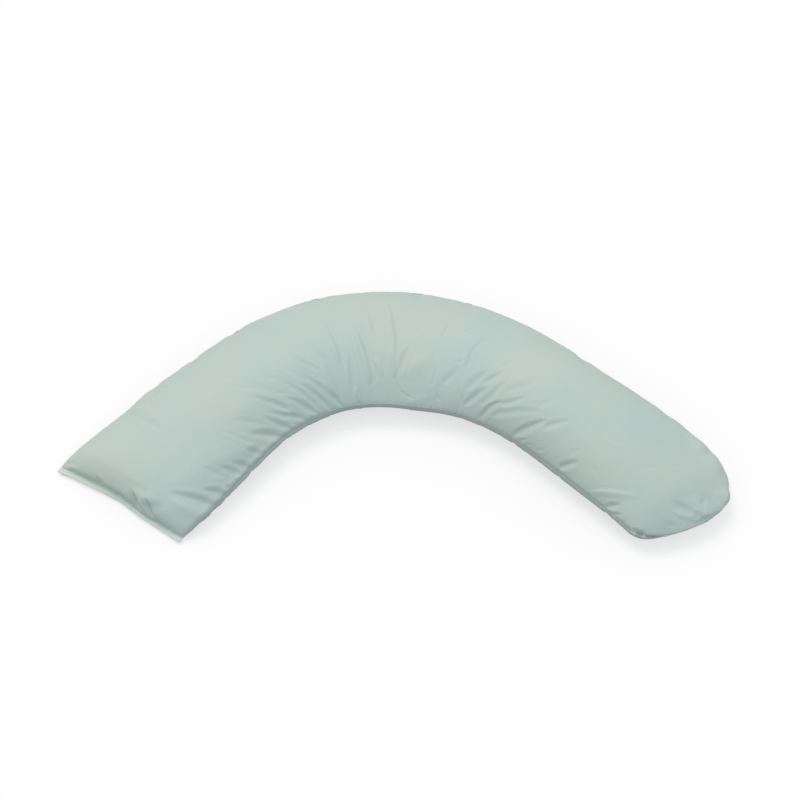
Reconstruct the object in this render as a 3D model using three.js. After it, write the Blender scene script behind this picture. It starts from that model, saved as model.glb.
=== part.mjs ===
// Curved positioning cushion: one long filled tube of coated cloth, bent to a half moon and lying on its
// broad side. Two like panels are sewn together round their edge. One end is closed straight across by a
// flat hem, and the other by a turned seam, which the filling bows out between its two corners.
// Millimetres, +Z up. The origin is on the floor, under the middle of the cushion's box. +X runs from the
// hemmed end to the turned end, and the hollow of the bend faces -Y.

import * as THREE from "three";

const CLOTH_COLOUR = 0xb7cbc4;
const CLOTH_ROUGHNESS = 0.62;
const HEM_DEPTH = 14;
const HEM_THICKNESS = 3;
const HEM_HOLD = 14; // the puckers start from nothing over this distance from the hem's stitching
const HEM_CORNER_LIFT = 0.25; // the hem is thinner towards its two corners, below this lift of the section

// The form, a row for each station: distance along the middle line, the line's heading in degrees from +X,
// the reach from it to the inner and outer seams, the crown's height, the seams' height, how gently the
// panels slope to the seams (a higher power is gentler), and how far the folds that leave the inner seam
// here have leant towards the turned end by the middle of the panel.
const STATIONS = [
  { along: 0, heading: 58.5, inner: 156, outer: 208, crown: 50, seam: 8, slope: 1.0, lean: 0 },
  { along: 100, heading: 46, inner: 168, outer: 190, crown: 84, seam: 28, slope: 1.35, lean: -55 },
  { along: 220, heading: 45, inner: 161, outer: 190, crown: 108, seam: 42, slope: 1.55, lean: -90 },
  { along: 370, heading: 43, inner: 150, outer: 180, crown: 124, seam: 52, slope: 1.7, lean: -105 },
  { along: 540, heading: 30, inner: 162, outer: 176, crown: 126, seam: 58, slope: 1.8, lean: -30 },
  { along: 710, heading: 8, inner: 176, outer: 167, crown: 123, seam: 60, slope: 1.9, lean: 0 },
  { along: 880, heading: -13, inner: 179, outer: 161, crown: 125, seam: 60, slope: 1.9, lean: 10 },
  { along: 1050, heading: -30, inner: 160, outer: 157, crown: 138, seam: 60, slope: 1.7, lean: 55 },
  { along: 1220, heading: -41, inner: 145, outer: 149, crown: 148, seam: 60, slope: 1.5, lean: 75 },
  { along: 1390, heading: -44, inner: 145, outer: 159, crown: 138, seam: 60, slope: 1.45, lean: 60 },
  { along: 1550, heading: -51, inner: 135, outer: 167, crown: 108, seam: 54, slope: 1.5, lean: 20 },
  { along: 1667, heading: -68, inner: 124, outer: 155, crown: 74, seam: 45, slope: 1.5, lean: 0 },
];
const LENGTH = STATIONS.at(-1).along;

// The line of the hem, which the filling draws in: how far in it lies at each side place, from -1 at the
// inner seam to 1 at the outer one. The cloth's rings even out from this line over a distance along.
const HEM_LINE = [
  { side: -1, draw: 0 },
  { side: -0.65, draw: 3 },
  { side: -0.3, draw: 6 },
  { side: -0.05, draw: 13 },
  { side: 0.5, draw: 7 },
  { side: 1, draw: 0 },
];
const HEM_LINE_FADE = 100;

// The filled section: how full its shoulders are, and the share of its width that lies flat on the floor.
const SHOULDER_POWER = 0.82;
const CONTACT_SHARE = 0.62;

// How the ends close, measured along the middle line. A higher bluntness makes a squarer corner.
const HEM_RISE = { length: 34, bluntness: 1.7 };
const INNER_CORNER = { length: 70, bluntness: 2.4 };
const OUTER_CORNER = { length: 108, bluntness: 2.5 };
const END_RISE = { length: 80, bluntness: 1.5 };

// The folds that the bend presses into the inner side, a row for each: the place along the inner seam that
// it points to, how far from that seam it starts and ends, half its width along the seam, and its depth.
// A negative depth is a ridge.
const INNER_FOLDS = [
  { along: 142, from: 0, to: 95, width: 15, depth: 5.5 },
  { along: 182, from: 0, to: 40, width: 11, depth: 3.5 },
  { along: 234, from: 20, to: 80, width: 12, depth: 2.5 },
  { along: 268, from: 0, to: 45, width: 12, depth: 3.5 },
  { along: 318, from: 0, to: 32, width: 12, depth: 2.5 },
  { along: 352, from: 15, to: 95, width: 12, depth: 2.5 },
  { along: 386, from: 0, to: 60, width: 13, depth: 5.5 },
  { along: 424, from: 25, to: 115, width: 13, depth: 3 },
  { along: 456, from: 0, to: 92, width: 12, depth: 3.5 },
  { along: 483, from: 40, to: 150, width: 12, depth: 3.5 },
  { along: 511, from: 0, to: 58, width: 11, depth: 2.5 },
  { along: 538, from: 20, to: 104, width: 12, depth: 4 },
  { along: 562, from: 0, to: 90, width: 11, depth: 3 },
  { along: 596, from: 0, to: 60, width: 11, depth: 2.5 },
  { along: 602, from: 85, to: 158, width: 13, depth: 3 },
  { along: 622, from: 15, to: 145, width: 12, depth: 3.5 },
  { along: 654, from: 80, to: 240, width: 13, depth: 3.5 },
  { along: 672, from: 40, to: 128, width: 11, depth: 3 },
  { along: 708, from: 30, to: 170, width: 13, depth: 3.5 },
  { along: 742, from: 45, to: 105, width: 12, depth: 2.5 },
  { along: 776, from: 110, to: 290, width: 11, depth: -2 },
  { along: 788, from: 30, to: 125, width: 12, depth: 3.5 },
  { along: 824, from: 30, to: 140, width: 13, depth: 3 },
  { along: 900, from: 130, to: 230, width: 14, depth: 2 },
  { along: 946, from: 20, to: 100, width: 14, depth: 3.5 },
  { along: 976, from: 75, to: 205, width: 14, depth: 3 },
  { along: 1032, from: 0, to: 115, width: 13, depth: 3.5 },
  { along: 1062, from: 15, to: 92, width: 12, depth: 2.5 },
  { along: 1104, from: 0, to: 50, width: 12, depth: 4 },
  { along: 1120, from: 30, to: 110, width: 12, depth: 2.5 },
  { along: 1152, from: 10, to: 72, width: 12, depth: 2 },
  { along: 1204, from: 0, to: 60, width: 14, depth: 5.5 },
  { along: 1228, from: 28, to: 86, width: 12, depth: 2.5 },
  { along: 1349, from: 0, to: 38, width: 13, depth: 4 },
  { along: 1512, from: 0, to: 32, width: 14, depth: 5 },
];

// The puckers where the outer seam is drawn in, in the same columns, measured from the outer seam.
const OUTER_PUCKERS = [
  { along: 165, from: 0, to: 115, width: 40, depth: 2 },
  { along: 245, from: 0, to: 42, width: 15, depth: 4 },
  { along: 362, from: 0, to: 44, width: 15, depth: 5 },
  { along: 468, from: 0, to: 64, width: 15, depth: 5 },
  { along: 632, from: 0, to: 55, width: 14, depth: 4 },
  { along: 827, from: 0, to: 50, width: 14, depth: 5 },
  { along: 930, from: 0, to: 45, width: 14, depth: 3.5 },
  { along: 1195, from: 0, to: 60, width: 16, depth: 3.5 },
  { along: 1435, from: 0, to: 45, width: 16, depth: 3.5 },
  { along: 1555, from: 0, to: 40, width: 14, depth: 5 },
];

// The puckers that the two end seams draw in, a row for each: how far outwards of the middle line it is at
// its seam, how far back it reaches, how far it leans outwards over that, half its width, and its depth.
const HEM_PUCKERS = [
  { across: -80, from: 0, to: 46, lean: 22, width: 12, depth: 5 },
  { across: -44, from: 0, to: 52, lean: 38, width: 12, depth: 5 },
  { across: 40, from: 0, to: 36, lean: 8, width: 16, depth: 3 },
  { across: 100, from: 0, to: 36, lean: 4, width: 16, depth: 3.5 },
];
const END_PUCKERS = [
  { across: -62, from: 0, to: 40, lean: 6, width: 16, depth: 2.5 },
  { across: 14, from: 0, to: 64, lean: -48, width: 16, depth: 2.5 },
  { across: 62, from: 0, to: 56, lean: -4, width: 16, depth: 4 },
  { across: 96, from: 0, to: 50, lean: 0, width: 16, depth: 3.5 },
];

// The edge seam's stitching holds its line against the folds that start there: they have a share of their
// depth at the seam itself, and all of it from a distance on. A fold that starts away from the seam deepens
// over the first share of its length, and every fold runs out from another share of it on. The lower panel
// takes up a share of each fold, where the floor leaves it free.
const SEAM_FOLD_SHARE = 0.35;
const SEAM_HOLD = 24;
const DEEPENS_OVER = 0.3;
const RUNS_OUT_FROM = 0.45;
const LOWER_FOLD_SHARE = 0.6;

// Mesh steps: points over the crown and under the base, rings at the two ends and along the body, and the
// steps that walk the middle line and measure the form's slopes.
const CROWN_STEPS = 20;
const BASE_STEPS = CROWN_STEPS / 2;
const RISE_STEPS = 5;
const BODY_STEP = 9.5;
const CLOSE_STEPS = 11;
const WALK_STEP = 2;
const SLOPE_STEP = 0.5;
const SLOPE_TURN = 0.005;

const COLUMNS = ["heading", "inner", "outer", "crown", "seam", "slope", "lean"];
const stationTable = new THREE.CubicInterpolant(
  STATIONS.map((row) => row.along),
  STATIONS.flatMap((row) => COLUMNS.map((column) => row[column])),
  COLUMNS.length,
);

const hemLine = new THREE.CubicInterpolant(
  HEM_LINE.map((row) => row.side),
  HEM_LINE.map((row) => row.draw),
  1,
);

// How far in the hem's line lies at a side place.
function hemDraw(side) {
  return hemLine.evaluate(side)[0];
}

// The form's values at any distance along the middle line.
function stationAt(along) {
  const values = stationTable.evaluate(THREE.MathUtils.clamp(along, 0, LENGTH));
  return Object.fromEntries(COLUMNS.map((column, i) => [column, values[i]]));
}

// How far a closing end has filled out, from 0 at its tip to 1 at full size.
function fillOut(distance, { length, bluntness }) {
  const left = 1 - THREE.MathUtils.clamp(distance / length, 0, 1);
  return (1 - left ** bluntness) ** (1 / bluntness);
}

// The middle line in plan, walked by its heading from the inside edge of the hem.
function walkMiddleLine() {
  const line = [];
  const point = new THREE.Vector2(0, 0);
  for (let along = 0; along <= LENGTH; along += WALK_STEP) {
    line.push(point.clone());
    const heading = THREE.MathUtils.degToRad(stationAt(along + WALK_STEP / 2).heading);
    point.add(new THREE.Vector2(Math.cos(heading), Math.sin(heading)).multiplyScalar(WALK_STEP));
  }
  return line;
}
const MIDDLE_LINE = walkMiddleLine();

// The middle line's point and its outward direction, carried on straight past both ends.
function middleAt(along) {
  const index = THREE.MathUtils.clamp(Math.floor(along / WALK_STEP), 0, MIDDLE_LINE.length - 1);
  const heading = THREE.MathUtils.degToRad(stationAt(along).heading);
  const ahead = new THREE.Vector2(Math.cos(heading), Math.sin(heading));
  const point = MIDDLE_LINE[index].clone().addScaledVector(ahead, along - index * WALK_STEP);
  return { point, outward: new THREE.Vector2(-ahead.y, ahead.x) };
}

// How far out a turn of the section lies, from -1 at the inner seam to 1 at the outer one. A turn of 0 is
// the inner seam, a quarter turn the crown, half a turn the outer seam and three quarters the base.
function sideAt(turn) {
  return -Math.sign(Math.cos(turn)) * Math.abs(Math.cos(turn)) ** SHOULDER_POWER;
}

// A place on the smooth form, before the folds.
function formPlace(along, turn) {
  const station = stationAt(along);
  const { point, outward } = middleAt(along);
  const toTip = LENGTH - along;
  const inner = station.inner * fillOut(toTip, INNER_CORNER);
  const outer = station.outer * fillOut(toTip, OUTER_CORNER);
  const side = sideAt(turn);
  const across = THREE.MathUtils.lerp(-inner, outer, (side + 1) / 2);
  const fromHem = along - hemDraw(side);
  const hemRise = fillOut(fromHem, HEM_RISE);
  const rise = hemRise * fillOut(toTip, END_RISE);
  const lift = Math.sin(turn);
  const hemHalf = (HEM_THICKNESS / 2) * Math.min(1, Math.abs(lift) / HEM_CORNER_LIFT) * (1 - hemRise);
  const overFloor = THREE.MathUtils.clamp((Math.abs(side) - CONTACT_SHARE) / (1 - CONTACT_SHARE), 0, 1);
  const up = (station.crown - station.seam) * rise * Math.abs(lift) ** station.slope + hemHalf;
  const down = station.seam * rise * Math.sqrt(1 - overFloor * overFloor) + hemHalf;
  const height = lift >= 0 ? station.seam + up : Math.max(0, station.seam - down);
  const place = new THREE.Vector3(point.x + outward.x * across, point.y + outward.y * across, height);
  return { place, fromHem, across, inner, outer, toTip, seam: station.seam };
}

// The form's outward normal, from its slopes along the cushion and round the section.
function formNormal(along, turn) {
  const back = formPlace(along - SLOPE_STEP, turn).place;
  const ahead = formPlace(along + SLOPE_STEP, turn).place.sub(back);
  const before = formPlace(along, turn - SLOPE_TURN).place;
  const round = formPlace(along, turn + SLOPE_TURN).place.sub(before);
  return ahead.cross(round).normalize();
}

// How deep a fold is at a distance from its seam and aside from its line: a trough between two soft lips,
// held where it starts at the seam, and running out at its other end.
function foldDepth({ from, to, width, depth }, fromSeam, aside) {
  const held = THREE.MathUtils.lerp(SEAM_FOLD_SHARE, 1, THREE.MathUtils.smoothstep(fromSeam, 0, SEAM_HOLD));
  const full = THREE.MathUtils.lerp(from, to, DEEPENS_OVER);
  const start = from > 0 ? THREE.MathUtils.smoothstep(fromSeam, from, full) : held;
  const end = 1 - THREE.MathUtils.smoothstep(fromSeam, THREE.MathUtils.lerp(from, to, RUNS_OUT_FROM), to);
  const offset = (aside / width) ** 2;
  return depth * start * end * (1 - offset) * Math.exp(-offset / 2);
}

// How far all the folds draw the cloth in at a place on the form, on the ring that leaves the inner seam
// at the given distance along.
function drawnIn(ring, { fromHem, across, inner, outer, toTip }) {
  let depth = 0;
  for (const fold of INNER_FOLDS) {
    depth += foldDepth(fold, across + inner, ring - fold.along);
  }
  for (const pucker of OUTER_PUCKERS) {
    depth += foldDepth(pucker, outer - across, ring - pucker.along);
  }
  for (const pucker of HEM_PUCKERS) {
    depth += foldDepth(pucker, fromHem, across - pucker.across - (pucker.lean * fromHem) / pucker.to);
  }
  for (const pucker of END_PUCKERS) {
    depth += foldDepth(pucker, toTip, across - pucker.across - (pucker.lean * toTip) / pucker.to);
  }
  return depth * THREE.MathUtils.smoothstep(fromHem, 0, HEM_HOLD);
}

// A point of the cloth on a ring that leaves the inner seam at the given distance along and leans with the
// folds: its place on the form, drawn in by the folds but never below the floor.
function clothPoint(ring, turn) {
  const side = sideAt(turn);
  const hemShare = 1 - THREE.MathUtils.smoothstep(ring, 0, HEM_LINE_FADE);
  const along = ring + hemDraw(side) * hemShare + stationAt(ring).lean * Math.cos((side * Math.PI) / 2);
  const form = formPlace(along, turn);
  const free = turn > Math.PI ? (LOWER_FOLD_SHARE * form.place.z) / form.seam : 1;
  const point = form.place.clone().addScaledVector(formNormal(along, turn), -drawnIn(ring, form) * free);
  return point.setZ(Math.max(0, point.z));
}

// Distances along at which the cloth's rings leave the inner seam, closer together at the two ends.
function ringPlaces() {
  const places = [-HEM_DEPTH];
  for (let i = 0; i < RISE_STEPS; i += 1) {
    places.push(HEM_RISE.length * (1 - Math.cos((i / RISE_STEPS) * (Math.PI / 2))));
  }
  const bodyEnd = LENGTH - END_RISE.length;
  const bodySteps = Math.round((bodyEnd - HEM_RISE.length) / BODY_STEP);
  for (let i = 0; i < bodySteps; i += 1) {
    places.push(THREE.MathUtils.lerp(HEM_RISE.length, bodyEnd, i / bodySteps));
  }
  for (let i = 0; i < CLOSE_STEPS; i += 1) {
    places.push(LENGTH - END_RISE.length * (1 - Math.sin((i / CLOSE_STEPS) * (Math.PI / 2))));
  }
  return places;
}

// Turns at which a ring's points lie: over the crown from the inner seam, then back under the base.
function ringTurns() {
  const crown = Array.from({ length: CROWN_STEPS }, (_, i) => (i / CROWN_STEPS) * Math.PI);
  const base = Array.from({ length: BASE_STEPS }, (_, i) => (1 + i / BASE_STEPS) * Math.PI);
  return [...crown, ...base];
}

// The closed skin: rings joined by quads, a fan over the turned end's tip, and a strip along the hem's
// edge, which takes two steps over the crown for each step under the base.
function cushionGeometry() {
  const turns = ringTurns();
  const rings = ringPlaces().map((ring) => turns.map((turn) => clothPoint(ring, turn)));
  const points = [...rings.flat(), formPlace(LENGTH, 0).place];
  const tip = points.length - 1;
  const faces = [];
  const at = (ring, step) => ring * turns.length + (step % turns.length);
  for (let step = 0; step < turns.length; step += 1) {
    for (let ring = 0; ring + 1 < rings.length; ring += 1) {
      faces.push(at(ring, step), at(ring + 1, step + 1), at(ring, step + 1));
      faces.push(at(ring, step), at(ring + 1, step), at(ring + 1, step + 1));
    }
    faces.push(at(rings.length - 1, step), tip, at(rings.length - 1, step + 1));
  }
  for (let step = 0; step < BASE_STEPS; step += 1) {
    const over = 2 * step;
    const under = turns.length - step;
    if (step > 0) {
      faces.push(at(0, under), at(0, over), at(0, over + 1));
    }
    faces.push(at(0, over + 1), at(0, under - 1), at(0, under));
    if (step + 1 < BASE_STEPS) {
      faces.push(at(0, under - 1), at(0, over + 1), at(0, over + 2));
    }
  }
  const geometry = new THREE.BufferGeometry().setFromPoints(points);
  geometry.setIndex(faces);
  return geometry;
}

const cloth = new THREE.MeshStandardMaterial({
  color: CLOTH_COLOUR,
  roughness: CLOTH_ROUGHNESS,
  metalness: 0,
});
const geometry = cushionGeometry();
geometry.computeBoundingBox();
const middle = geometry.boundingBox.getCenter(new THREE.Vector3());
geometry.translate(-middle.x, -middle.y, 0);
geometry.computeVertexNormals();

const cushion = new THREE.Mesh(geometry, cloth);
cushion.name = "cushion";

const part = new THREE.Group();
part.add(cushion);

export default part;
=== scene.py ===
# Curved positioning cushion: a long tube of coated cloth, bent to a half moon and loosely filled, with one
# end hemmed flat and the other sewn and turned. Metres, in the frame's axes: +X runs from the hemmed end to
# the turned end, the hollow of the bend faces -Y, and +Z is up from the floor.
import math
import random
from collections import namedtuple

import bmesh
import bpy
import numpy as np
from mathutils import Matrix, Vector, noise
from mathutils.bvhtree import BVHTree


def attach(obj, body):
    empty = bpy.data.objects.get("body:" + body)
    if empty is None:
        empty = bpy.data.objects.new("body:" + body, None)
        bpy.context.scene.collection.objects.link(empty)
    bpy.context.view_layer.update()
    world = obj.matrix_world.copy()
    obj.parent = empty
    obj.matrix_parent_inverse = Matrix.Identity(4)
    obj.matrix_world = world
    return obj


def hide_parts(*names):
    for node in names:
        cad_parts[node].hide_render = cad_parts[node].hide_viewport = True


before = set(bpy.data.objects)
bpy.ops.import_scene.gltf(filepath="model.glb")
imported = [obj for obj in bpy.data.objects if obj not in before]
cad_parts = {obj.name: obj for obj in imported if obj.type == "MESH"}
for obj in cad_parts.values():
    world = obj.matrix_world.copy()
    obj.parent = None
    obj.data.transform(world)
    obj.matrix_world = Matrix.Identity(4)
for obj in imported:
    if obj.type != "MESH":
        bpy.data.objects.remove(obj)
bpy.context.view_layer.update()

MM = 0.001
UP = np.array((0.0, 0.0, 1.0))

# The photograph's view: a square picture, taken from in front and above. The lens and its sensor are in
# millimetres.
PHOTO_PIXELS = 800
SENSOR_WIDTH = 36.0
LENS = 54.0
CAMERA_ELEVATION = math.radians(58)
CAMERA_DISTANCE = 3.0
CAMERA_TARGET = Vector((0.024, 0.054, 0.0))

# The solid's steps over the crown of a section, the middle of the bend in plan, and how near to each other
# two of the solid's points count as one.
SOLID_CROWN_STEPS = 20
BEND_MIDDLE = Vector((0.06, -0.56))
SAME_POINT = 0.001 * MM

# The cover's grid: rings along the cushion, columns over the upper panel, and a column of the lower panel
# for every few of the upper one's, gathered towards the two seams.
RINGS = 686
UPPER_COLUMNS = 112
COLUMNS_SHARED = 4
LOWER_COLUMNS = UPPER_COLUMNS // COLUMNS_SHARED
GATHERED = 0.75

# How the filling presses the cloth out: a coarser grid, the pressure, the frames that it takes, the most
# that a point moves, the steps that ripples are evened over, and the height up to which cloth lies on the
# floor.
SETTLE_RINGS = 300
SETTLE_COLUMNS = 56
FILLING_PRESSURE = 3.0
FILLING_FRAMES = 20
MOST_MOVED = 8 * MM
EVENED_STEPS = 13
ON_FLOOR = 0.5 * MM

# How the solid's broad folds are pressed out of the upper panel: the steps of the grid that it is smoothed
# over, the length of its two ends, the share of the way across at which the inner side's pressing stops, the
# share that it fades over, and the share beside each seam that the ends keep as it is.
PRESSED_STEPS = 47
PRESSED_FROM_END = 60 * MM
PRESSED_SHARE = 0.85
PRESSED_FADE = 0.2
SEAM_KEPT_SHARE = 0.1

# The creases, a row for each: the pixels of the photograph that its line runs through, half its width in
# millimetres on the left and on the right hand of that path, and its depth in millimetres. A negative depth
# is a ridge.
Crease = namedtuple("Crease", "path left right depth")
CREASES = [
    # Left arm, from the hem towards the bend.
    Crease([(213, 507.5), (207, 504), (200, 501), (190, 498), (180, 495.6), (170, 493)], 18, 11, 8.0),
    Crease([(226, 496), (220, 493.5), (212, 491.3), (204, 489.5)], 10, 10, 6.5),
    Crease([(231, 487), (225, 486.5)], 5, 6, 2.5),
    Crease([(224, 476.5), (214, 472.5), (203, 467)], 8, 9, 2.5),
    Crease([(239.5, 475.5), (236, 473.3), (228, 469.8), (219.5, 466.8)], 8, 9, 4.8),
    Crease([(251, 469.5), (247, 467.8), (240, 464.6), (232.5, 462.3)], 8, 10, 5.5),
    Crease([(262, 456), (254, 452), (247, 449.3)], 7, 9, 4.5),
    Crease([(257, 445), (240, 451.5), (220, 459.5), (203, 466.5), (189, 477), (168, 484)], 26, 40, -2.6),
    Crease([(283, 437.5), (275, 435.7), (266, 434.3), (258, 433.8), (250, 433.5)], 11, 10, 6.0),
    Crease([(252, 443), (244, 440), (236, 436)], 6, 7, 2.0),
    Crease([(234, 443), (220, 438)], 6, 7, 1.2),
    Crease([(262, 424), (231, 419)], 8, 8, 1.6),
    Crease([(237, 433), (220, 426)], 5, 5, -0.8),
    Crease([(294, 430.5), (286, 427), (278, 424), (270, 420), (263, 415.5)], 7, 8, 4.2),
    Crease([(308, 421.5), (300, 418), (292, 416), (285, 416), (277, 414), (270, 411)], 7, 8, 4.5),
    Crease([(254, 406), (241, 413), (229, 419.5)], 20, 30, -1.6),
    Crease([(291, 412), (286, 408.5), (280, 405.5), (272, 402.5), (263, 400), (254, 396)], 7, 8, 4.2),
    Crease([(317, 414), (309, 409.5), (302, 405), (295, 401), (287, 399)], 7, 8.5, 4.6),
    Crease([(314, 404.5), (306, 396.5), (300, 391.5), (292, 386.5), (284, 382)], 5.5, 6.5, 3.5),
    Crease([(332, 411), (326, 404.5), (320, 398.5), (313, 392.5), (306, 387), (301, 386)], 7, 8, 4.6),
    Crease([(343, 407.5), (333, 398), (322, 388.5), (313, 382), (300, 374)], 7, 8, 4.6),
    Crease([(320, 372), (310, 365.5), (300, 360), (291, 354)], 6, 6, 3.0),
    Crease([(286, 393.5), (274, 392)], 5, 5, 1.6),
    Crease([(272, 391.5), (250, 387.5), (230, 386.5)], 8, 8, 1.6),
    Crease([(240, 381), (221, 378)], 7, 7, 1.1),
    Crease([(268, 387), (240, 381)], 7, 7, 1.2),
    Crease([(277, 380), (258, 373)], 7, 7, 1.6),
    Crease([(296, 369), (274, 348)], 7, 7, 1.2),
    Crease([(273, 357), (243, 341)], 8, 8, 1.1),
    Crease([(296, 374), (277, 366)], 7, 7, 1.1),
    Crease([(307, 353), (287, 332)], 7, 7, 1.2),
    Crease([(159, 428), (146, 421.5), (132, 416)], 8, 12, 2.4),
    Crease([(140, 402.5), (136.5, 409), (133, 415.5)], 45, 10, -5.0),
    Crease([(162, 387.5), (160, 390.5), (158, 394.5)], 40, 8, -4.0),
    Crease([(186, 411), (181, 394)], 7, 7, -0.8),
    # Top of the bend.
    Crease([(339, 397), (329, 378), (321.5, 355)], 9, 9, -4.0),
    Crease([(340, 365), (335, 350), (330, 338), (320, 315)], 10, 7, -3.6),
    Crease([(327, 361.5), (318, 350)], 6, 6, 2.6),
    Crease([(353.5, 393), (352.5, 380), (351, 365), (349, 350)], 7, 8, 3.8),
    Crease([(362, 403), (357, 394), (355, 386)], 7, 6, -2.6),
    Crease([(369.5, 384), (367, 367), (362, 350), (357, 336), (353, 327)], 10, 8, -4.8),
    Crease([(371, 333), (366, 308)], 7, 6, -2.4),
    Crease([(382, 377), (378.5, 365), (373, 358)], 8, 7, -3.6),
    Crease([(371, 386), (374, 378), (376.5, 371)], 6, 6, 1.1),
    Crease([(415, 399.5), (406, 395.5), (400, 391), (398.5, 385), (397, 378.5)], 4.5, 4.5, 1.5),
    Crease([(394.5, 377), (394, 369), (391.5, 359), (388, 351)], 7, 6, -3.8),
    Crease([(395, 353), (391.5, 325), (387, 302)], 8, 6, -3.8),
    Crease([(401, 375), (404, 359), (411, 345)], 9, 6, 2.6),
    Crease([(401, 378), (417, 364.5), (432, 352)], 22, 24, -2.6),
    Crease([(407, 404), (416, 400), (431, 397)], 12, 14, -1.4),
    Crease([(434, 350), (437, 362)], 5, 5, 1.2),
    Crease([(413, 335), (427, 322)], 5, 5, 1.1),
    Crease([(443, 338), (450, 321)], 5, 5, 1.6),
    Crease([(457, 337), (474, 328)], 5, 5, 1.1),
    # Right arm, from the bend towards the turned end.
    Crease([(440, 401), (438, 397), (436, 391.5)], 4.5, 4.5, 1.8),
    Crease([(431, 386), (434, 378), (436, 368)], 5, 6, 1.8),
    Crease([(443, 384), (450, 377), (458, 367.5)], 10, 9, 2.6),
    Crease([(456, 362), (464, 361.5)], 5, 4, 1.6),
    Crease([(465, 412), (460, 396), (455, 384)], 4, 4, 1.6),
    Crease([(465, 373), (468.5, 361), (473, 351), (480, 343), (494, 336)], 5.5, 5.5, 2.6),
    Crease([(466, 390), (476, 380), (488, 371)], 10, 9, 2.4),
    Crease([(464, 406), (472, 399), (479, 393), (485, 388.5)], 9, 8, 4.4),
    Crease([(484, 383), (494, 377), (504, 371)], 7, 9, 2.6),
    Crease([(480, 405), (491, 396), (499, 388), (506, 382)], 8, 9, 2.6),
    Crease([(501, 367), (513, 360)], 5, 5, 1.1),
    Crease([(504, 391), (518, 387.5), (534, 383.5)], 10, 9, 1.8),
    Crease([(478.5, 420), (485, 411.5), (490, 406.5), (497, 403), (503, 401.5)], 6, 9, 4.4),
    Crease([(500, 404.5), (511, 402), (524, 397.5)], 7, 9, 3.0),
    Crease([(490, 416), (503, 412.5), (520, 411), (543, 411.5)], 9, 10, 2.2),
    Crease([(511, 437), (519, 431.5), (528, 427), (538, 423), (547, 421)], 8, 11, 4.8),
    Crease([(542, 429), (552, 424.5), (562, 422), (570, 419.5)], 7, 10, 2.6),
    Crease([(537, 407), (551, 400)], 7, 7, 1.1),
    Crease([(518, 441), (526, 439)], 5, 5, 1.6),
    Crease([(524, 445.5), (533, 444)], 5, 5, 0.9),
    Crease([(535, 451), (546, 449)], 5, 5, 0.9),
    Crease([(559, 468), (568, 464.5), (579, 461)], 8, 10, 4.6),
    Crease([(569, 453.5), (580, 450)], 7, 7, 1.0),
    Crease([(594, 465), (597, 477)], 5, 5, 1.1),
    Crease([(588, 491.5), (603, 491.5), (616, 493), (630, 494.5), (639, 499)], 6, 12, -2.4),
    Crease([(605, 507.5), (612, 506), (621, 505)], 8, 7, 5.0),
    Crease([(612, 514.5), (621, 514.5)], 5, 5, 2.6),
    Crease([(598, 438), (636, 454)], 5, 5, -0.7),
    Crease([(628, 444), (682, 456)], 5, 5, -0.7),
    Crease([(636, 468), (686, 466)], 7, 7, 0.8),
    # Turned end.
    Crease([(644, 535.5), (639, 533), (632, 529)], 14, 8, 4.5),
    Crease([(698, 518), (690, 511.2), (681, 505.5), (670, 500.5)], 18, 6, 3.0),
    Crease([(694, 518), (683, 515.5), (671, 511)], 7, 14, -3.2),
    Crease([(697, 518), (698, 510), (699.5, 503), (701, 496)], 30, 11, -4.5),
    Crease([(704, 516.5), (705, 510), (707, 500.5)], 14, 26, -4.2),
    Crease([(699, 519), (697, 514), (696.5, 510)], 6, 5, 4.0),
    Crease([(689, 523.5), (700, 517), (709, 513.5), (717, 510.5)], 22, 8, -4.0),
    Crease([(685, 431.5), (697, 442), (707, 452.5), (716, 465), (722, 475)], 26, 26, -6.0),
    Crease([(673, 527.5), (671.5, 522)], 4, 6, 1.2),
    Crease([(727, 488), (726, 495), (724.4, 500), (721.8, 505), (717, 510)], 36, 30, -6.0),
    Crease([(684, 526.5), (683, 521)], 4, 6, 1.2),
    # Hemmed end.
    Crease([(142, 508), (138, 500), (133.5, 489)], 20, 5, 8.0),
    Crease([(143, 509.5), (140, 504), (137, 497)], 9, 5, 4.0),
    Crease([(154, 516), (150.5, 506), (147.5, 498)], 15, 5, 6.5),
    Crease([(155.5, 518), (153, 512), (150, 505)], 9, 5, 3.5),
    Crease([(145, 496), (143.5, 486)], 6, 4, 1.8),
    Crease([(105, 484.5), (101, 480), (97, 474)], 12, 6, 4.0),
    Crease([(69, 468.5), (74, 467.5), (80, 471)], 6, 5, -2.5),
    Crease([(64, 466.5), (70, 463.5), (76, 463)], 6, 6, 2.6),
]
CREASE_STEPS = 16

# A crease's form. Along it: the lower TAPER_LEAN, the nearer its deepest place lies to the start of its
# path, and the lower TAPER_FULLNESS, the deeper it stays towards its ends, where END_WIDTH of its width is
# left. Across it, in half widths: the roundings of its bottom and of its shoulders, as squares, how far the
# bottom is lowered again to its full depth, where its soft lips lie, how wide they are, and how far it
# reaches. Shares of its depth: the height of a lip, and what shows of the crease on the lower panel.
TAPER_LEAN = 0.8
TAPER_FULLNESS = 0.7
END_WIDTH = 0.4
BOTTOM_ROUNDING = 0.02
SHOULDER_ROUNDING = 0.03
BOTTOM_LOWERED = 0.14
LIP_PLACE = 1.5
LIP_WIDTH = 0.6
CREASE_REACH = 4
LIP_SHARE = 0.18
UNDERSIDE_SHARE = 0.5

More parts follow.
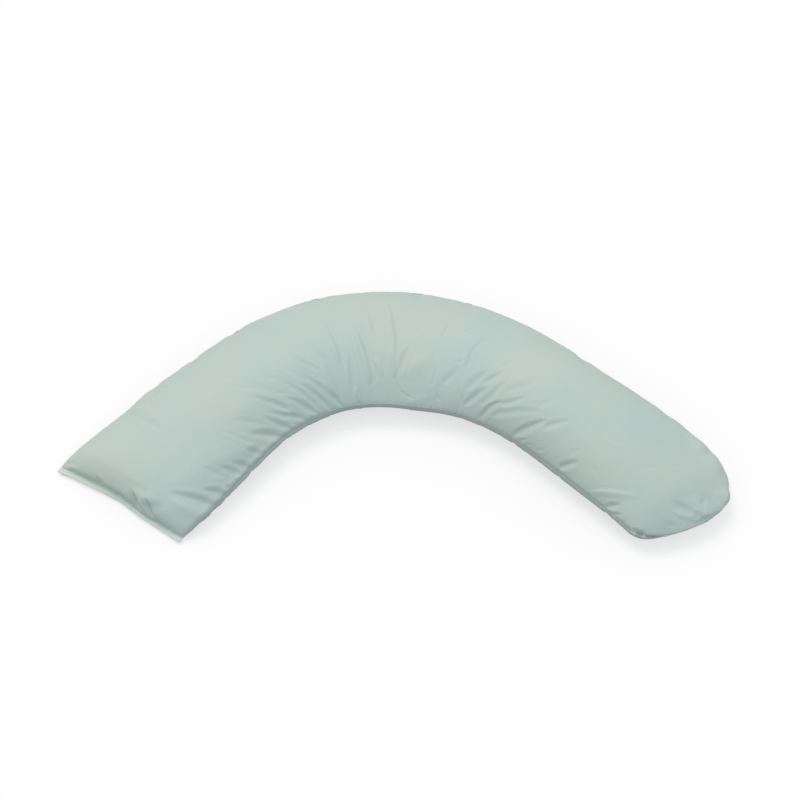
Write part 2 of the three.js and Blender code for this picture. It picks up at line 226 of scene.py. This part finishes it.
# Rows of small puckers where the cloth is gathered into the two seams: the least and the most, in
# millimetres, of their spacing, their run from the seam, half their width and their depth.
Puckers = namedtuple("Puckers", "seed spacing run width depth")
INNER_PUCKERS = Puckers(3, (8, 20), (8, 30), (2.5, 4.5), (0.3, 1.1))
OUTER_PUCKERS = Puckers(7, (22, 80), (12, 45), (3.0, 6.0), (0.3, 1.0))
PUCKER_LEAN = 0.35

# Amounts in millimetres by the share of the way along an edge: how far the two edge seams are sunk between
# the panels, and how far the cloth rolls up beside the inner one.
Along = namedtuple("Along", "share amount")
INNER_SINK = [
    Along(0, 0.5),
    Along(0.1, 4.0),
    Along(0.25, 4.5),
    Along(0.36, 1.5),
    Along(0.6, 1.0),
    Along(0.75, 3.0),
    Along(0.95, 3.0),
    Along(1, 0),
]
OUTER_SINK = [Along(0, 0.5), Along(0.1, 1.2), Along(0.95, 1.2), Along(1, 0)]
INNER_ROLL = [Along(0, 0), Along(0.05, 3.0), Along(0.2, 3.0), Along(0.35, 0), Along(1, 0)]
OUTER_ROLL = [Along(0, 0), Along(1, 0)]
SEAM_HALF_WIDTH = 6 * MM
ROLL_FROM_SEAM = 14 * MM
ROLL_HALF_WIDTH = 10 * MM

# The same along the hem, from the inner seam to the outer one: how far the filling pushes it out beyond the
# solid, how far the cloth bellies out close behind it, and how far its free edge stands out. Then how far
# back the push and the belly run, and how round the belly's shoulder is.
HEM_PUSH = [Along(0, 0), Along(0.3, 0), Along(0.42, 2.5), Along(0.85, 2.0), Along(1, 0)]
HEM_BELLY = [Along(0, 4.0), Along(0.3, 7.0), Along(0.7, 7.5), Along(0.85, 3.0), Along(1, 0)]
HEM_STANDS_OUT = [
    Along(0, 0.5),
    Along(0.32, 0.5),
    Along(0.42, 2.0),
    Along(0.85, 2.0),
    Along(0.87, 4.0),
    Along(1, 2.0),
]
HEM_PUSH_RUN = 120 * MM
HEM_BELLY_RUN = 22 * MM
HEM_BELLY_FADE = 130 * MM
HEM_SHOULDER_ROUNDING = 0.05

# The soft lumps of the filling under the cloth, and how near the floor and the turned end's tip they and the
# creases ease off.
Lumps = namedtuple("Lumps", "spacing height")
FILLING_LUMPS = [Lumps(130 * MM, 1.8 * MM), Lumps(45 * MM, 0.5 * MM)]
FLOOR_EASE = 12 * MM
TIP_EASE = 20 * MM

# The flat hem: rows across its depth, as the distance from its inside edge and the cloth's thickness there,
# in millimetres. The line of stitching draws it thin, and its free edge is a rounded fold. It thins out at
# its two corners and waves a little, and its stitches lie along the thin row.
HemRow = namedtuple("HemRow", "distance thickness")
HEM_ROWS = [
    HemRow(14.0, 0.6),
    HemRow(13.6, 2.0),
    HemRow(12.5, 2.6),
    HemRow(9.5, 2.6),
    HemRow(6.5, 2.6),
    HemRow(4.4, 2.4),
    HemRow(3.2, 1.7),
    HemRow(2.4, 1.3),
    HemRow(1.4, 1.7),
]
HEM_DEPTH = HEM_ROWS[0].distance
HEM_CORNER_SHARE = 0.04
HEM_WAVE_SPACING = 80 * MM
HEM_WAVE_HEIGHT = 2.5 * MM
STITCH_ROW = 7
STITCH_PITCH = 3.5 * MM
STITCH_LENGTH = 2.9 * MM
STITCH_RADIUS = 0.3 * MM
STITCH_ENDS_THINNED = 0.5
STITCH_STEPS = 5
STITCH_SIDES = 6

# The cloth's tints where its coating lies thin and where it lies thick; the hem's are lighter, painted light
# on the flat strip that the body behind it shades.
CLOTH_TINTS = ("#b4c5c2", "#bbc7c0")
HEM_PAINTED_LIGHT_TINTS = ("#c4d3cd", "#c9d4cc")

# The studio: an even light from all sides, weaker from below the horizon, one broad light from behind on the
# left, and a floor that glows.
STUDIO_TINT = "#f2f9fb"
LIGHT_ABOVE = 0.84
LIGHT_BELOW = 0.14
HORIZON = 0.15
KEY_TINT = "#fff2e6"
KEY_DIRECTION = Vector((-0.55, 0.82, 1.5))
KEY_SPREAD = math.radians(30)
KEY_STRENGTH = 1.05
FLOOR_HALF = 6.0
FLOOR_GLOW = 0.62


def solid_rings(node):
    """The solid's own rings of points from the hem to the turned end, and the tip that closes that end.
    A ring starts at the inner seam, runs over the crown to the outer seam, and comes back under the base."""
    skin = bmesh.new()
    skin.from_mesh(node.data)
    bmesh.ops.remove_doubles(skin, verts=skin.verts, dist=SAME_POINT)
    beside = {point: {edge.other_vert(point) for edge in point.link_edges} for point in skin.verts}
    tip = max(skin.verts, key=lambda point: len(beside[point]))
    rings = [in_order(beside[tip], beside)]
    seen = {tip, *rings[0]}
    while len(seen) < len(skin.verts):
        pairs = zip(rings[-1], rings[-1][1:] + rings[-1][:1])
        rings.append([(beside[point] & beside[following] - seen).pop() for point, following in pairs])
        seen.update(rings[-1])
    places = [[point.co[:] for point in ring] for ring in reversed(rings)]
    tip_place = np.array(tip.co)
    skin.free()
    return np.array(places), tip_place


def in_order(ring, beside):
    """A ring's points in order round the section, from the inner seam up over the crown."""
    start = min(ring, key=lambda point: (point.co.xy - BEND_MIDDLE).length)
    order = [start, max(beside[start] & ring, key=lambda point: point.co.z)]
    while len(order) < len(ring):
        order.append((beside[order[-1]] & ring - set(order)).pop())
    return order


def between(rows, places):
    """Smooth values between the rows of a table, at the given row places."""
    first = 3 * rows[:1] - 3 * rows[1:2] + rows[2:3]
    last = 3 * rows[-1:] - 3 * rows[-2:-1] + rows[-3:-2]
    extended = np.concatenate([first, rows, last])
    index = np.clip(np.floor(places).astype(int), 0, len(rows) - 2)
    t = (places - index).reshape((-1,) + (1,) * (rows.ndim - 1))
    a, b, c, d = (extended[index + i] for i in range(4))
    return b + 0.5 * t * (c - a + t * (2 * a - 5 * b + 4 * c - d + t * (3 * (b - c) + d - a)))


def shares(count, gathered=0.0):
    """Shares of the way from 0 to 1 in a count of steps, even or gathered towards both ends."""
    even = np.linspace(0, 1, count + 1)
    return even - gathered * np.sin(2 * np.pi * even) / (2 * np.pi)


def spread(rows, count, gathered=0.0):
    """A table laid out again in another count of steps."""
    return between(rows, shares(count, gathered) * (len(rows) - 1))


def regrid(panel, rings, columns, gathered=0.0):
    """A panel of points in rings and columns, laid out again with other counts of both."""
    panel = spread(panel, rings - 1)
    return np.swapaxes(spread(np.swapaxes(panel, 0, 1), columns, gathered), 0, 1)


def outward(panel):
    """The cloth's outward direction at each point of a panel."""
    direction = np.cross(np.gradient(panel, axis=0), np.gradient(panel, axis=1))
    return direction / np.maximum(np.linalg.norm(direction, axis=-1, keepdims=True), 1e-12)


def run_along(points, axis):
    """How far each point lies from the first one along an axis of a grid of points."""
    steps = np.linalg.norm(np.diff(points, axis=axis), axis=-1).cumsum(axis=axis)
    start = np.zeros_like(np.take(steps, [0], axis=axis))
    return np.concatenate([start, steps], axis=axis)


def amount_at(share, rows):
    """The amount in metres, from a table of amounts along an edge, at each share of the way."""
    return np.interp(share, [row.share for row in rows], [row.amount * MM for row in rows])


def share_seams(upper, lower):
    """Lays the lower panel's two edges on the upper panel's, where they are sewn together."""
    lower[:, 0] = upper[:, -1]
    lower[:, -1] = upper[:, 0]


def grid_faces(grid):
    """The four-sided faces between the points of a grid, from the points' numbers."""
    corners = [grid[:-1, :-1], grid[1:, :-1], grid[1:, 1:], grid[:-1, 1:]]
    return np.stack(corners, axis=-1).reshape(-1, 4).tolist()


def new_mesh(name, points, faces):
    """A mesh of points and faces."""
    mesh = bpy.data.meshes.new(name)
    mesh.from_pydata(points, [], faces)
    mesh.update()
    return mesh


def cover_mesh(name, upper, lower, tip):
    """One closed mesh of the two panels. The lower one runs from the outer seam to the inner one, in fewer
    columns. A strip between them closes the hem's edge, and a fan to the tip closes the turned end."""
    rings, lower_columns = upper.shape[0], lower.shape[1] - 1
    shared = (upper.shape[1] - 1) // lower_columns
    points = np.concatenate([upper.reshape(-1, 3), lower[:, 1:-1].reshape(-1, 3), tip.reshape(1, 3)])
    over = np.arange(rings * upper.shape[1]).reshape(rings, -1)
    inside = over.size + np.arange(rings * (lower_columns - 1)).reshape(rings, -1)
    under = np.concatenate([over[:, -1:], inside, over[:, :1]], axis=1)
    faces = grid_faces(over) + grid_faces(under)
    hem, below = over[0].tolist(), under[0, ::-1].tolist()
    for i in range(lower_columns):
        strip = hem[shared * i : shared * (i + 1) + 1]
        half = shared // 2
        closing = [(strip[k], strip[k + 1], below[i + (k >= half)]) for k in range(shared)]
        closing.append((strip[half], below[i + 1], below[i]))
        faces += [face for face in closing if len(set(face)) == 3]
    end = over[-1].tolist() + under[-1, 1:].tolist()
    faces += [(a, len(points) - 1, b) for a, b in zip(end[:-1], end[1:])]
    return new_mesh(name, points.tolist(), faces)


def add_piece(name, data):
    """An object in the scene."""
    piece = bpy.data.objects.new(name, data)
    bpy.context.scene.collection.objects.link(piece)
    return piece


def weigh(piece, name, weights):
    """A vertex group with a weight for each point."""
    group = piece.vertex_groups.new(name=name)
    weights = np.round(weights, 2)
    for weight in np.unique(weights[weights > 0]):
        group.add(np.flatnonzero(weights == weight).tolist(), float(weight), "REPLACE")
    return group.name


def bell(steps):
    """The weights of a bell-shaped window, which add up to 1."""
    weights = np.exp(-np.linspace(-2, 2, steps) ** 2)
    return weights / weights.sum()


def evened(move):
    """A panel's moves with their narrow ripples evened out."""
    for axis in (0, 1):
        move = np.apply_along_axis(np.convolve, axis, move, bell(EVENED_STEPS), "same")
    return move


def pressed(panel, axis):
    """A panel smoothed along its rings or across its columns."""
    margin = [(0, 0), (0, 0), (0, 0)]
    margin[axis] = (PRESSED_STEPS // 2, PRESSED_STEPS // 2)
    extended = np.pad(panel, margin, mode="reflect", reflect_type="odd")
    return np.apply_along_axis(np.convolve, axis, extended, bell(PRESSED_STEPS), "valid")


def press_out_folds(panel):
    """A panel, from the inner seam to the outer one, with the solid's broad folds pressed out of its inner
    side and of its two ends. The chart's narrower ones take their place."""
    along = run_along(panel, 0)
    from_end = np.minimum(along, along[-1] - along) / PRESSED_FROM_END
    share = shares(panel.shape[1] - 1)
    inner = np.clip(from_end - 0.5, 0, 1) * np.clip((PRESSED_SHARE - share) / PRESSED_FADE, 0, 1)
    panel = panel + (pressed(panel, 0) - panel) * inner[..., None]
    ends = np.clip(2 - 2 * from_end, 0, 1) * np.clip(6 * from_end - 1, 0, 1)
    middle = np.clip(np.minimum(share, 1 - share) / SEAM_KEPT_SHARE - 0.5, 0, 1)
    return panel + (pressed(panel, 1) - panel) * (ends * middle)[..., None]


def settle_filling(upper, lower, tip):
    """Lets the filling press the cloth out. The hem, the seams, the turned end's tip and what lies on the
    floor are held. The upper panel keeps the broad swell, and its folds come from the chart."""
    lower_columns = SETTLE_COLUMNS // COLUMNS_SHARED
    upper = regrid(upper, SETTLE_RINGS, SETTLE_COLUMNS)
    lower = regrid(lower, SETTLE_RINGS, lower_columns)
    share_seams(upper, lower)
    piece = add_piece("settling_cover", cover_mesh("settling_cover", upper, lower, tip))
    start = np.array([point.co for point in piece.data.vertices])
    held_above = np.zeros((SETTLE_RINGS, SETTLE_COLUMNS + 1), bool)
    held_below = np.zeros((SETTLE_RINGS, lower_columns - 1), bool)
    held_above[[0, -1]] = True
    held_above[:, [0, -1]] = True
    held_below[[0, -1]] = True
    held = np.concatenate([held_above.ravel(), held_below.ravel(), [True]]) | (start[:, 2] < ON_FLOOR)
    cloth = piece.modifiers.new("filling", "CLOTH")
    cloth.collision_settings.use_collision = False
    settings = cloth.settings
    settings.quality = 5
    settings.mass = 0.3
    settings.tension_stiffness = 40
    settings.compression_stiffness = 40
    settings.shear_stiffness = 10
    settings.bending_stiffness = 1.5
    settings.use_pressure = True
    settings.uniform_pressure_force = FILLING_PRESSURE
    settings.effector_weights.gravity = 0
    settings.vertex_group_mass = weigh(piece, "held", held.astype(float))
    cloth.point_cache.frame_start = 1
    cloth.point_cache.frame_end = FILLING_FRAMES
    for step in range(1, FILLING_FRAMES + 1):
        bpy.context.scene.frame_set(step)
    settled = piece.evaluated_get(bpy.context.evaluated_depsgraph_get())
    move = np.array([point.co for point in settled.data.vertices]) - start
    distance = np.linalg.norm(move, axis=1, keepdims=True)
    move *= np.minimum(1, MOST_MOVED / np.maximum(distance, 1e-9))
    bpy.data.objects.remove(piece)
    bpy.context.scene.frame_set(1)
    above, below = np.split(move[:-1], [upper.size // 3])
    upper = upper + evened(above.reshape(upper.shape))
    lower[:, 1:-1] += below.reshape(SETTLE_RINGS, -1, 3)
    share_seams(upper, lower)
    return upper, lower


def place_camera():
    """The camera at the photograph's angle."""
    data = bpy.data.cameras.new("photo_view")
    data.lens = LENS
    data.sensor_width = SENSOR_WIDTH
    camera = add_piece("photo_view", data)
    back = Vector((0, -math.cos(CAMERA_ELEVATION), math.sin(CAMERA_ELEVATION)))
    camera.location = CAMERA_TARGET + back * CAMERA_DISTANCE
    camera.rotation_euler = (-back).to_track_quat("-Z", "Y").to_euler()
    bpy.context.scene.camera = camera
    return camera


def sight_line(camera, pixel):
    """The direction from the camera through a pixel of the photograph."""
    across, down = ((place / PHOTO_PIXELS - 0.5) * SENSOR_WIDTH / LENS for place in pixel)
    return (camera.rotation_euler.to_matrix() @ Vector((across, -down, -1))).normalized()


def valley_line(camera, tree, path):
    """The points of the cloth that a path of pixels runs over."""
    path = np.array(path, float)
    places = np.linspace(0, len(path) - 1, CREASE_STEPS)
    pixels = between(path, places) if len(path) > 2 else path[0] + places[:, None] * (path[1] - path[0])
    hits = [tree.ray_cast(camera.location, sight_line(camera, pixel))[0] for pixel in pixels]
    return np.array([hit for hit in hits if hit is not None])


def crease_depth(points, line, crease):
    """How deep a crease is at each point: a valley with straight walls between two soft lips, which narrows
    and runs out at both ends."""
    starts, steps = line[:-1], line[1:] - line[:-1]
    offset = points[:, None] - starts
    along = np.clip((offset * steps).sum(-1) / (steps * steps).sum(-1), 0, 1)
    gap = offset - along[..., None] * steps
    distance = np.linalg.norm(gap, axis=-1)
    nearest = distance.argmin(axis=1)
    index = np.arange(len(points))
    share = (nearest + along[index, nearest]) / len(steps)
    taper = np.sin(np.pi * share ** TAPER_LEAN) ** TAPER_FULLNESS
    on_left = np.cross(steps[nearest], gap[index, nearest])[:, 2] > 0
    width = np.where(on_left, crease.left, crease.right) * MM * (END_WIDTH + (1 - END_WIDTH) * taper)
    aside = np.sqrt((distance[index, nearest] / width) ** 2 + BOTTOM_ROUNDING) - BOTTOM_LOWERED
    wall = (1 - aside + np.sqrt((1 - aside) ** 2 + SHOULDER_ROUNDING)) / 2
    lips = LIP_SHARE * np.exp(-((aside - LIP_PLACE) / LIP_WIDTH) ** 2)
    return crease.depth * MM * taper * (wall - lips)


def charted_creases(upper, camera):
    """The depth of all the charted creases at each point of the upper panel."""
    rings, columns = upper.shape[:2]
    points = upper.reshape(-1, 3)
    faces = grid_faces(np.arange(rings * columns).reshape(rings, columns))
    tree = BVHTree.FromPolygons(points.tolist(), faces)
    depth = np.zeros(len(points))
    for crease in CREASES:
        line = valley_line(camera, tree, crease.path)
        reach = CREASE_REACH * max(crease.left, crease.right) * MM
        near = ((points > line.min(axis=0) - reach) & (points < line.max(axis=0) + reach)).all(axis=1)
        depth[near] += crease_depth(points[near], line, crease)
    return depth.reshape(rings, columns)


def seam_depth(panel, sinks, rolls, puckers):
    """The depth of the sunk seam at a panel's first column, less the roll of cloth beside it, and of the row
    of puckers gathered into it."""
    chance = random.Random(puckers.seed)
    along = run_along(panel[:, 0], 0)[:, None]
    across = run_along(panel, 1)
    share = along / along[-1]
    sunk = np.exp(-((across / SEAM_HALF_WIDTH) ** 2))
    rolled = np.exp(-(((across - ROLL_FROM_SEAM) / ROLL_HALF_WIDTH) ** 2))
    depth = amount_at(share, sinks) * sunk - amount_at(share, rolls) * rolled
    place = 0
    while place < along[-1]:
        spacing, run, width, deep = (chance.uniform(*bounds) * MM for bounds in puckers[1:])
        place += spacing
        lean = chance.uniform(-PUCKER_LEAN, PUCKER_LEAN)
        depth += deep * np.exp(-(((along - place - lean * across) / width) ** 2) - (across / run) ** 2)
    return depth


def push_hem(panel, direction):
    """A panel, from the inner seam to the outer one, with its hemmed end pushed out by the filling."""
    behind = np.clip(run_along(panel, 0) / HEM_PUSH_RUN, 0, 1)
    push = amount_at(shares(panel.shape[1] - 1), HEM_PUSH) * (1 - behind) ** 2 * (1 + 2 * behind)
    return panel + direction * push[..., None]


def hem_belly(panel):
    """How far the filling bellies the cloth out behind the hem: a straight steep wall, a round shoulder, and
    a long fade into the panel."""
    behind = run_along(panel, 0)
    runs = behind / HEM_BELLY_RUN
    wall = (runs + 1 - np.sqrt((runs - 1) ** 2 + HEM_SHOULDER_ROUNDING)) / 2
    fade = np.exp(-((behind / HEM_BELLY_FADE) ** 2))
    return amount_at(shares(panel.shape[1] - 1), HEM_BELLY) * wall * fade


def lump_height(panel):
    """The height of the filling's soft lumps at each point of a panel."""
    heights = [
        sum(lumps.height * noise.noise(Vector(point) / lumps.spacing) for lumps in FILLING_LUMPS)
        for point in panel.reshape(-1, 3).tolist()
    ]
    return np.array(heights).reshape(panel.shape[:2])


def finish_panels(upper, lower, camera):
    """Both panels with their creases, puckers, sunk seams and lumps, eased off where they lie on the floor
    and at the turned end's tip."""
    creases = charted_creases(upper, camera)
    under = UNDERSIDE_SHARE * spread(creases[:, ::-1].T, LOWER_COLUMNS, GATHERED).T
    inner, outer = (INNER_SINK, INNER_ROLL, INNER_PUCKERS), (OUTER_SINK, OUTER_ROLL, OUTER_PUCKERS)
    finished = []
    for panel, depth, first, last in ((upper, creases, inner, outer), (lower, under, outer, inner)):
        depth = depth + seam_depth(panel, *first) + seam_depth(panel[:, ::-1], *last)[:, ::-1]
        if panel is upper:
            depth = depth - hem_belly(panel)
        from_tip = np.linalg.norm(panel - panel[-1].mean(axis=0), axis=-1)
        ease = np.clip(panel[..., 2] / FLOOR_EASE, 0, 1) * np.clip(from_tip / TIP_EASE - 0.5, 0, 1)
        depth = (depth - lump_height(panel)) * ease
        panel = panel - outward(panel) * depth[..., None]
        panel[..., 2] = np.maximum(panel[..., 2], 0)
        finished.append(panel)
    share_seams(*finished)
    return finished


def hem_panels(hem_edge, upper, lower, direction):
    """The hem's rows, over and under, from its free edge to its inside edge."""
    outer_edge = spread(hem_edge[: SOLID_CROWN_STEPS + 1], UPPER_COLUMNS)
    under_edge = spread(np.concatenate([hem_edge[SOLID_CROWN_STEPS:], hem_edge[:1]]), UPPER_COLUMNS)
    share = shares(UPPER_COLUMNS)[:, None]
    free_edge = (outer_edge + under_edge[::-1]) / 2 + direction * amount_at(share, HEM_STANDS_OUT)
    places = np.interp(share[:, 0], shares(LOWER_COLUMNS, GATHERED), np.arange(LOWER_COLUMNS + 1))
    inside_edge = (upper[0] + between(lower[0], places)[::-1]) / 2
    corner = np.clip(np.minimum(share, 1 - share) / HEM_CORNER_SHARE, 0, 1)
    wave = [HEM_WAVE_HEIGHT * noise.noise(Vector(point) / HEM_WAVE_SPACING) for point in free_edge.tolist()]
    over, under = [], []
    for row in HEM_ROWS:
        out = row.distance / HEM_DEPTH
        centre = inside_edge + (free_edge - inside_edge) * out + UP * np.array(wave)[:, None] * out
        half = UP * corner * row.thickness * MM / 2
        over.append(centre + half)
        under.append(spread((centre - half)[::-1], LOWER_COLUMNS, GATHERED))
    return np.array(over), np.array(under)


def stitch_mesh(name, lines):
    """Short thread stitches in a row along each line, as one mesh. Each is a small tube that thins at its
    ends."""
    points, faces = [], []
    t = np.linspace(0, 1, STITCH_STEPS)
    turn = np.linspace(0, 2 * np.pi, STITCH_SIDES, endpoint=False)
    thickness = STITCH_RADIUS * (1 - STITCH_ENDS_THINNED * (2 * t - 1) ** 4)
    for line in lines:
        run = run_along(line, 0)
        starts = np.arange(STITCH_PITCH, run[-1] - STITCH_PITCH, STITCH_PITCH)
        for start in starts:
            at = start + t * STITCH_LENGTH
            centre = np.stack([np.interp(at, run, line[:, axis]) for axis in range(3)], axis=-1)
            along = centre[-1] - centre[0]
            aside = np.cross(along / np.linalg.norm(along), UP)
            ring = np.cos(turn)[:, None] * aside + np.sin(turn)[:, None] * UP
            first = len(points)
            for middle, radius in zip(centre, thickness):
                points += (middle + radius * ring).tolist()
            for step in range(STITCH_STEPS - 1):
                here = first + step * STITCH_SIDES
                onward = here + STITCH_SIDES
                for side in range(STITCH_SIDES):
                    beside = (side + 1) % STITCH_SIDES
                    faces.append((here + side, here + beside, onward + beside, onward + side))
            faces.append(tuple(range(first + STITCH_SIDES - 1, first - 1, -1)))
            faces.append(tuple(range(len(points) - STITCH_SIDES, len(points))))
    return new_mesh(name, points, faces)


def linear(hex_colour):
    """An sRGB hex colour as linear values with full alpha."""
    channels = [int(hex_colour[i : i + 2], 16) / 255 for i in (1, 3, 5)]
    return [c / 12.92 if c <= 0.04045 else ((c + 0.055) / 1.055) ** 2.4 for c in channels] + [1.0]


def add_node(tree, kind, settings=None, inputs=None, links=None):
    """A node with its settings, its input values and the outputs that its inputs are linked to."""
    node = tree.nodes.new(kind)
    for name, value in (settings or {}).items():
        setattr(node, name, value)
    for name, value in (inputs or {}).items():
        node.inputs[name].default_value = value
    for name, output in (links or {}).items():
        tree.links.new(output, node.inputs[name])
    return node


def new_material(name):
    """An empty node material, with its tree and its shader."""
    material = bpy.data.materials.new(name)
    material.use_nodes = True
    return material, material.node_tree, material.node_tree.nodes["Principled BSDF"]


def coated_polyester(name, thin_tint, thick_tint):
    """Knitted polyester with a wipe-clean polyurethane coating, rolled on. It looks soft and even, pale mint
    grey, with a low broad sheen, faint clouds where the coating lies thicker, and a fine crinkle."""
    material, tree, shader = new_material(name)
    cloud_size = 160 * MM
    crinkle_size, crinkle_height = 14 * MM, 0.8 * MM
    # The knit's own grain is about 0.6 mm, too fine to show from here, so it is drawn five times as coarse.
    grain_size, grain_height = 3 * MM, 0.3 * MM
    place = {"Vector": add_node(tree, "ShaderNodeTexCoord").outputs["Object"]}
    clouds = add_node(tree, "ShaderNodeTexNoise", inputs={"Scale": 1 / cloud_size, "Detail": 3}, links=place)
    crinkle = add_node(tree, "ShaderNodeTexNoise",
                       inputs={"Scale": 1 / crinkle_size, "Detail": 4, "Roughness": 0.6}, links=place)
    grain = add_node(tree, "ShaderNodeTexNoise", inputs={"Scale": 1 / grain_size, "Detail": 2}, links=place)
    tint = add_node(tree, "ShaderNodeValToRGB", links={"Fac": clouds.outputs["Fac"]})
    tint.color_ramp.elements[0].position = 0.3
    tint.color_ramp.elements[0].color = linear(thin_tint)
    tint.color_ramp.elements[1].position = 0.7
    tint.color_ramp.elements[1].color = linear(thick_tint)
    speckle = add_node(tree, "ShaderNodeMapRange", inputs={"To Min": 0.96, "To Max": 1.04},
                       links={"Value": grain.outputs["Fac"]})
    colour = add_node(tree, "ShaderNodeVectorMath", {"operation": "MULTIPLY"},
                      links={0: tint.outputs["Color"], 1: speckle.outputs["Result"]})
    dull = add_node(tree, "ShaderNodeMapRange", inputs={"To Min": 0.52, "To Max": 0.68},
                    links={"Value": crinkle.outputs["Fac"]})
    crinkled = add_node(tree, "ShaderNodeBump", inputs={"Strength": 0.35, "Distance": crinkle_height},
                        links={"Height": crinkle.outputs["Fac"]})
    grained = add_node(tree, "ShaderNodeBump", inputs={"Strength": 0.2, "Distance": grain_height},
                       links={"Height": grain.outputs["Fac"], "Normal": crinkled.outputs["Normal"]})
    shader.inputs["IOR"].default_value = 1.48
    shader.inputs["Sheen Weight"].default_value = 0.12
    shader.inputs["Sheen Roughness"].default_value = 0.5
    tree.links.new(colour.outputs["Vector"], shader.inputs["Base Color"])
    tree.links.new(dull.outputs["Result"], shader.inputs["Roughness"])
    tree.links.new(grained.outputs["Normal"], shader.inputs["Normal"])
    return material


def polyester_thread():
    """Spun polyester sewing thread, dyed to match the cloth. Its twist catches the light in fine slanted
    bands, a little paler than the cloth."""
    material, tree, shader = new_material("spun_polyester_thread")
    # The thread's own twist is about 0.6 mm, too fine to show from here, so it is drawn 3.6 times as coarse.
    twist_pitch = 3.6 * 0.6 * MM
    # A slanted wave of scale 1 has its bands this far apart.
    wave_pitch = 0.36
    place = {"Vector": add_node(tree, "ShaderNodeTexCoord").outputs["Object"]}
    twist = add_node(tree, "ShaderNodeTexWave", {"bands_direction": "DIAGONAL"},
                     inputs={"Scale": wave_pitch / twist_pitch}, links=place)
    tint = add_node(tree, "ShaderNodeValToRGB", links={"Fac": twist.outputs["Fac"]})
    tint.color_ramp.elements[0].color = linear("#b4c4bf")
    tint.color_ramp.elements[1].color = linear("#c6d3cd")
    shader.inputs["Roughness"].default_value = 0.6
    shader.inputs["Sheen Weight"].default_value = 0.2
    tree.links.new(tint.outputs["Color"], shader.inputs["Base Color"])
    return material


def opal_acrylic():
    """White opal acrylic, cast with a matt face and lit from below, so that shadows on it are faint."""
    material, _, shader = new_material("cast_opal_acrylic")
    shader.inputs["Base Color"].default_value = linear("#a0a0a0")
    shader.inputs["Roughness"].default_value = 0.9
    shader.inputs["Emission Color"].default_value = linear("#ffffff")
    shader.inputs["Emission Strength"].default_value = FLOOR_GLOW
    return material


def lay_floor():
    """The pale floor that the cushion lies on."""
    corners = [(x * FLOOR_HALF, y * FLOOR_HALF, 0) for x, y in ((-1, -1), (1, -1), (1, 1), (-1, 1))]
    mesh = new_mesh("floor", corners, [(0, 1, 2, 3)])
    mesh.materials.append(opal_acrylic())
    floor = add_piece("floor", mesh)
    floor.visible_diffuse = False


def light_studio():
    """The even light from all sides, and the broad one, which is so far off that it falls evenly."""
    world = bpy.data.worlds.new("studio")
    world.use_nodes = True
    tree = world.node_tree
    direction = add_node(tree, "ShaderNodeTexCoord").outputs["Generated"]
    height = add_node(tree, "ShaderNodeSeparateXYZ", links={"Vector": direction}).outputs["Z"]
    bounds = {"From Min": -HORIZON, "From Max": HORIZON, "To Min": LIGHT_BELOW, "To Max": LIGHT_ABOVE}
    level = add_node(tree, "ShaderNodeMapRange", inputs=bounds, links={"Value": height})
    background = tree.nodes["Background"]
    background.inputs["Color"].default_value = linear(STUDIO_TINT)
    tree.links.new(level.outputs["Result"], background.inputs["Strength"])
    bpy.context.scene.world = world
    key = bpy.data.lights.new("key_softbox", "SUN")
    key.angle = KEY_SPREAD
    key.energy = KEY_STRENGTH
    key.color = linear(KEY_TINT)[:3]
    add_piece("key_softbox", key).rotation_euler = KEY_DIRECTION.to_track_quat("Z", "Y").to_euler()
    bpy.context.scene.view_settings.view_transform = "Standard"


def make_cover(camera):
    """The cushion's cover and its hem's stitching."""
    rings, tip = solid_rings(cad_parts["cushion"])
    hem_edge, body = rings[0], rings[1:]
    upper = body[:, : SOLID_CROWN_STEPS + 1]
    lower = np.concatenate([body[:, SOLID_CROWN_STEPS:], body[:, :1]], axis=1)
    upper, lower = settle_filling(upper, lower, tip)
    upper = regrid(upper, RINGS, UPPER_COLUMNS)
    lower = regrid(lower, RINGS, LOWER_COLUMNS, GATHERED)
    hem_direction = (hem_edge.mean(axis=0) - body[0].mean(axis=0)) * (1, 1, 0)
    hem_direction /= np.linalg.norm(hem_direction)
    upper = push_hem(press_out_folds(upper), hem_direction)
    lower = push_hem(lower[:, ::-1], hem_direction)[:, ::-1]
    share_seams(upper, lower)
    upper, lower = finish_panels(upper, lower, camera)
    hem_over, hem_under = hem_panels(hem_edge, upper, lower, hem_direction)
    upper = np.concatenate([hem_over, upper])
    lower = np.concatenate([hem_under, lower])
    mesh = cover_mesh("cushion_cover", upper, lower, tip)
    mesh.materials.append(coated_polyester("coated_polyester", *CLOTH_TINTS))
    # The hem's cloth lies double; its paler tint is painted light on the flat strip, which the body behind
    # it shades.
    mesh.materials.append(coated_polyester("doubled_coated_polyester_painted_light", *HEM_PAINTED_LIGHT_TINTS))
    hem_point_count = hem_over.size // 3
    for face in mesh.polygons:
        face.material_index = int(max(face.vertices) < hem_point_count)
    mesh.shade_smooth()
    cover = add_piece("cushion_cover", mesh)
    thread = stitch_mesh("hem_stitching", [hem_over[STITCH_ROW], hem_under[STITCH_ROW]])
    thread.materials.append(polyester_thread())
    thread.shade_smooth()
    stitching = add_piece("hem_stitching", thread)
    for piece in (cover, stitching):
        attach(piece, "root")
    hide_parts("cushion")


make_cover(place_camera())
lay_floor()
light_studio()
